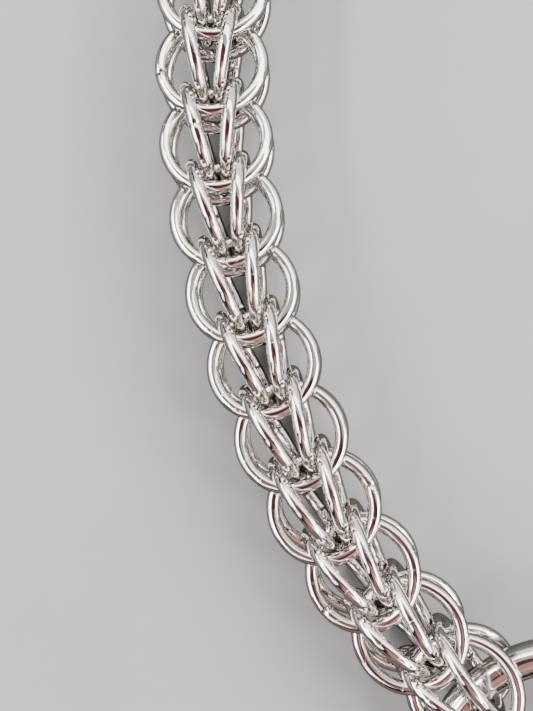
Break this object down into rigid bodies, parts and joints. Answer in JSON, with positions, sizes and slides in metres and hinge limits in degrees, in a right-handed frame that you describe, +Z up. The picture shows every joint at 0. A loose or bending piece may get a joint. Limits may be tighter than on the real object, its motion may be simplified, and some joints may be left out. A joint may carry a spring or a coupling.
{
  "type": "ring weave choker",
  "caption": "Polished steel choker of six-in-one ring weave lying flat as a closed loop, with a thick plain ring at the front and an oval clasp at the back.",
  "frame": {"origin": "on the surface that the choker lies on, under the middle of its outline", "axes": "+Z up, the front ring toward -Y, the clasp toward +Y, the plane X = 0 halves the choker"},
  "size_m": [0.1264, 0.156, 0.0132],
  "materials": {
    "links": "bright polished round wire",
    "ring": "polished",
    "clasp": "polished"
  },
  "bodies": {
    "root": {"chain_left": "links", "chain_right": "links", "front_ring": "ring", "clasp": "clasp"}
  },
  "joints": []
}
